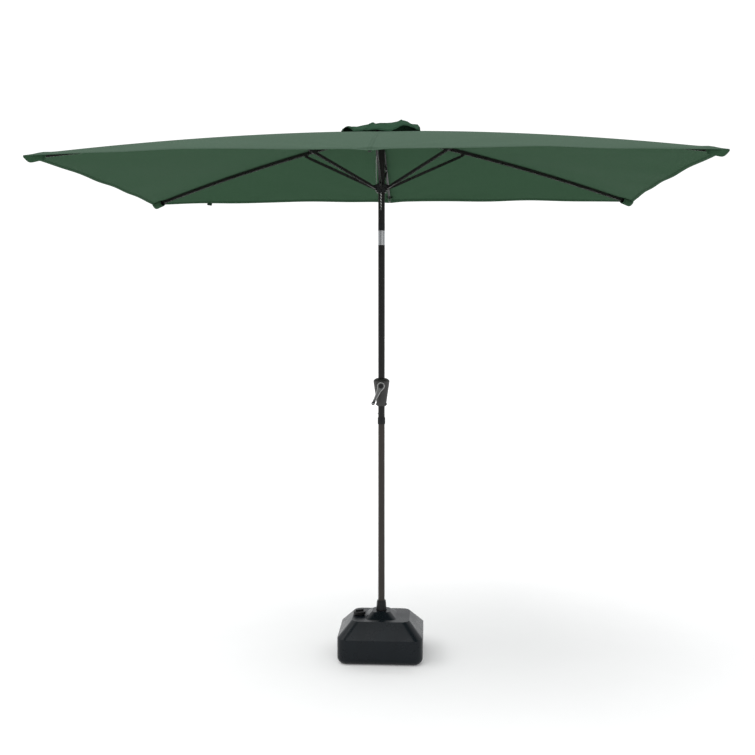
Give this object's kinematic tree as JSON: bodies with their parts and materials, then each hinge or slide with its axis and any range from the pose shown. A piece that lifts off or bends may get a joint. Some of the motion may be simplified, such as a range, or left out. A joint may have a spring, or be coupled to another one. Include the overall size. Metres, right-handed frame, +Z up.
{
  "type": "patio umbrella",
  "caption": "Rectangular market umbrella on a two-piece pole with crank, tilt joint and vented canopy, standing in a water-fillable plastic base.",
  "frame": {"origin": "on the ground, on the pole's axis, under the middle of the canopy", "axes": "+Z up along the pole; +X along the long side of the canopy; the crank faces -Y"},
  "size_m": [3, 2, 2.846],
  "materials": {
    "tank_plastic": "satin",
    "black_plastic": "satin",
    "housing_plastic": "matte",
    "grey_plastic": "matte",
    "rubber": "matte",
    "bronze_pole": "satin",
    "black_pole": "satin",
    "zinc_steel": "satin",
    "brass": "satin",
    "polished_steel": "polished",
    "crank_grey": "satin",
    "frame_steel": "satin",
    "canopy_fabric": "matte",
    "cord": "matte",
    "tape": "matte"
  },
  "bodies": {
    "root": {"base_tank": "tank_plastic", "pole_collet": "grey_plastic"},
    "filler_seal": {"filler_gasket": "rubber"},
    "filler_lid": {"filler_cap": "black_plastic"},
    "nut": {"clamp_nut": "black_plastic"},
    "foot": {"pole_foot_plug": "grey_plastic"},
    "pole": {"lower_pole": "bronze_pole", "joint_collar": "black_plastic", "main_pole": "black_pole", "crank_housing_front": "housing_plastic", "crank_housing_rear": "housing_plastic", "housing_screws": "zinc_steel", "shaft_bush": "brass", "tilt_sleeve": "polished_steel", "tilt_fork": "zinc_steel", "tilt_pin": "zinc_steel", "lift_cord_lower": "cord", "snap_spring": "zinc_steel"},
    "snap": {"snap_button": "zinc_steel"},
    "crank": {"crank_shaft": "zinc_steel", "cord_drum": "grey_plastic", "crank_arm": "crank_grey", "crank_hub_cap": "black_plastic", "knob_pin": "zinc_steel"},
    "knob": {"crank_knob": "black_plastic"},
    "head": {"tilt_knuckle": "black_plastic", "tilt_spring": "zinc_steel", "upper_pole": "black_pole", "crown": "black_plastic", "crown_pins": "zinc_steel", "pulley_pin": "zinc_steel", "crown_cap": "black_plastic", "vent_cap": "canopy_fabric", "lift_cord_upper": "cord", "lift_cord_outer": "cord"},
    "button": {"tilt_button": "black_plastic"},
    "wheel": {"pulley": "grey_plastic"},
    "runner": {"runner": "black_plastic", "lift_cord_tail": "cord"},
    "rib_front_left": {"rib_front_left": "frame_steel", "canopy_front_left": "canopy_fabric"},
    "strut_front_left": {"strut_front_left": "frame_steel"},
    "rib_front_mid": {"rib_front_mid": "frame_steel", "canopy_front_mid": "canopy_fabric"},
    "strut_front_mid": {"strut_front_mid": "frame_steel"},
    "rib_front_right": {"rib_front_right": "frame_steel", "canopy_front_right": "canopy_fabric"},
    "strut_front_right": {"strut_front_right": "frame_steel"},
    "rib_back_right": {"rib_back_right": "frame_steel", "canopy_back_right": "canopy_fabric"},
    "strut_back_right": {"strut_back_right": "frame_steel"},
    "rib_back_mid": {"rib_back_mid": "frame_steel", "canopy_back_mid": "canopy_fabric"},
    "strut_back_mid": {"strut_back_mid": "frame_steel"},
    "rib_back_left": {"rib_back_left": "frame_steel", "canopy_back_left": "canopy_fabric", "tie_strap": "tape"},
    "strut_back_left": {"strut_back_left": "frame_steel"}
  },
  "joints": [
    {"name": "cap_lift", "type": "slide", "parent": "root", "child": "filler_seal", "axis": [0, 0, 1], "range_m": [0, 0.018]},
    {"name": "cap_turn", "type": "hinge", "parent": "filler_seal", "child": "filler_lid", "pos_m": [-0.118, 0, 0.226], "axis": [0, 0, 1], "range_deg": [0, 1081]},
    {"name": "nut_turn", "type": "hinge", "parent": "root", "child": "nut", "pos_m": [0, 0, 0.256], "axis": [0, 0, 1], "range_deg": [0, 270]},
    {"name": "pole_lift", "type": "slide", "parent": "root", "child": "foot", "axis": [0, 0, 1], "range_m": [0, 0.2]},
    {"name": "pole_turn", "type": "hinge", "parent": "foot", "child": "pole", "pos_m": [0, 0, 0.116], "axis": [0, 0, 1], "continuous": true},
    {"name": "snap_press", "type": "slide", "parent": "pole", "child": "snap", "axis": [1, 0, 0], "range_m": [0, 0.003], "stiffness_N_per_m": 1500, "springref_m": -0.001, "deforming": ["snap_spring"]},
    {"name": "crank_turn", "type": "hinge", "parent": "pole", "child": "crank", "pos_m": [0, 0, 1.455], "axis": [0, 1, 0], "range_deg": [0, 3241]},
    {"name": "knob_spin", "type": "hinge", "parent": "crank", "child": "knob", "pos_m": [-0.03976, -0.07, 1.36652], "axis": [0, 1, 0], "continuous": true},
    {"name": "tilt", "type": "hinge", "parent": "pole", "child": "head", "pos_m": [0, 0, 2.256], "axis": [1, 0, 0], "range_deg": [-30, 0]},
    {"name": "tilt_press", "type": "slide", "parent": "head", "child": "button", "axis": [0, 1, 0], "range_m": [0, 0.0022], "stiffness_N_per_m": 1200, "springref_m": -0.001, "deforming": ["tilt_spring"]},
    {"name": "runner_slide", "type": "slide", "parent": "head", "child": "runner", "axis": [0, 0, -1], "range_m": [0, 0.7342], "deforming": ["canopy_front_left", "canopy_front_mid", "canopy_front_right", "canopy_back_right", "canopy_back_mid", "canopy_back_left", "vent_cap", "lift_cord_outer", "tie_strap"]},
    {"name": "pulley_spin", "type": "hinge", "parent": "head", "child": "wheel", "pos_m": [-0.017, -0.004, 2.79], "axis": [0, 1, 0], "range_deg": [-4208, 0]},
    {"name": "rib_front_left_fold", "type": "hinge", "parent": "head", "child": "rib_front_left", "pos_m": [-0.02995, -0.01997, 2.768], "axis": [0.5547, -0.8321, 0], "range_deg": [0, 77.56]},
    {"name": "strut_front_left_fold", "type": "hinge", "parent": "rib_front_left", "child": "strut_front_left", "pos_m": [-0.43183, -0.28789, 2.70151], "axis": [0.5547, -0.8321, 0], "range_deg": [-139.7, 0]},
    {"name": "rib_front_mid_fold", "type": "hinge", "parent": "head", "child": "rib_front_mid", "pos_m": [0, -0.036, 2.768], "axis": [1, 0, 0], "range_deg": [0, 71.41]},
    {"name": "strut_front_mid_fold", "type": "hinge", "parent": "rib_front_mid", "child": "strut_front_mid", "pos_m": [0, -0.5237, 2.64476], "axis": [1, 0, 0], "range_deg": [-139.51, 0]},
    {"name": "rib_front_right_fold", "type": "hinge", "parent": "head", "child": "rib_front_right", "pos_m": [0.02995, -0.01997, 2.768], "axis": [0.5547, 0.8321, 0], "range_deg": [0, 77.56]},
    {"name": "strut_front_right_fold", "type": "hinge", "parent": "rib_front_right", "child": "strut_front_right", "pos_m": [0.43183, -0.28789, 2.70151], "axis": [0.5547, 0.8321, 0], "range_deg": [-139.7, 0]},
    {"name": "rib_back_right_fold", "type": "hinge", "parent": "head", "child": "rib_back_right", "pos_m": [0.02995, 0.01997, 2.768], "axis": [-0.5547, 0.8321, 0], "range_deg": [0, 77.56]},
    {"name": "strut_back_right_fold", "type": "hinge", "parent": "rib_back_right", "child": "strut_back_right", "pos_m": [0.43183, 0.28789, 2.70151], "axis": [-0.5547, 0.8321, 0], "range_deg": [-139.7, 0]},
    {"name": "rib_back_mid_fold", "type": "hinge", "parent": "head", "child": "rib_back_mid", "pos_m": [0, 0.036, 2.768], "axis": [-1, 0, 0], "range_deg": [0, 71.41]},
    {"name": "strut_back_mid_fold", "type": "hinge", "parent": "rib_back_mid", "child": "strut_back_mid", "pos_m": [0, 0.5237, 2.64476], "axis": [-1, 0, 0], "range_deg": [-139.51, 0]},
    {"name": "rib_back_left_fold", "type": "hinge", "parent": "head", "child": "rib_back_left", "pos_m": [-0.02995, 0.01997, 2.768], "axis": [-0.5547, -0.8321, 0], "range_deg": [0, 77.56]},
    {"name": "strut_back_left_fold", "type": "hinge", "parent": "rib_back_left", "child": "strut_back_left", "pos_m": [-0.43183, 0.28789, 2.70151], "axis": [-0.5547, -0.8321, 0], "range_deg": [-139.7, 0]}
  ],
  "couplings": [
    {"joint": "cap_turn", "follows": "cap_lift", "rad_per_m": 1047.2},
    {"joint": "crank_turn", "follows": "runner_slide", "rad_per_m": 77.021},
    {"joint": "pulley_spin", "follows": "runner_slide", "rad_per_m": -100},
    {"joint": "rib_front_left_fold", "follows": "runner_slide", "rad_per_m": 1.8432},
    {"joint": "strut_front_left_fold", "follows": "runner_slide", "rad_per_m": -3.3205},
    {"joint": "rib_front_mid_fold", "follows": "runner_slide", "rad_per_m": 1.697},
    {"joint": "strut_front_mid_fold", "follows": "runner_slide", "rad_per_m": -3.316},
    {"joint": "rib_front_right_fold", "follows": "runner_slide", "rad_per_m": 1.8432},
    {"joint": "strut_front_right_fold", "follows": "runner_slide", "rad_per_m": -3.3205},
    {"joint": "rib_back_right_fold", "follows": "runner_slide", "rad_per_m": 1.8432},
    {"joint": "strut_back_right_fold", "follows": "runner_slide", "rad_per_m": -3.3205},
    {"joint": "rib_back_mid_fold", "follows": "runner_slide", "rad_per_m": 1.697},
    {"joint": "strut_back_mid_fold", "follows": "runner_slide", "rad_per_m": -3.316},
    {"joint": "rib_back_left_fold", "follows": "runner_slide", "rad_per_m": 1.8432},
    {"joint": "strut_back_left_fold", "follows": "runner_slide", "rad_per_m": -3.3205}
  ]
}
